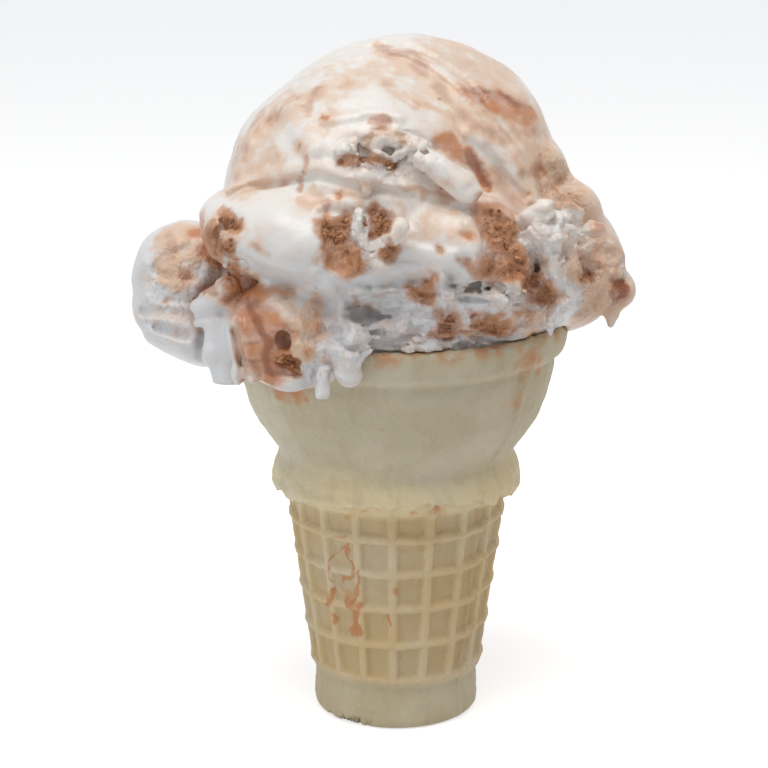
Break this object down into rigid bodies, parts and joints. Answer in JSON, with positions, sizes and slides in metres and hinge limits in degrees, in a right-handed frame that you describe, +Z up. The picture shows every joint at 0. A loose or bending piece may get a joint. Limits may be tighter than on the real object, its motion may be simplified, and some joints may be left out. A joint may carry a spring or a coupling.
{
  "type": "ice cream cone",
  "caption": "Flat-bottomed moulded wafer cone with a ribbed stem and cup-shaped bowl, holding a heaped, torn and dripping scoop of swirled ice cream.",
  "frame": {"origin": "centre of the wafer cone's flat base", "axes": "+Z up along the cone's axis; -Y is the front, the side with the lobe that hangs over the rim; +X is to the right of someone looking at the front"},
  "size_m": [0.0916, 0.0739, 0.128],
  "materials": {
    "wafer": "dry, pale baked wafer, slightly blistered, with damp syrup stains",
    "ice_cream": "wet, soft and translucent, white with tan and caramel swirls"
  },
  "bodies": {
    "root": {"wafer_cone": "wafer", "ice_cream": "ice_cream"}
  },
  "joints": []
}
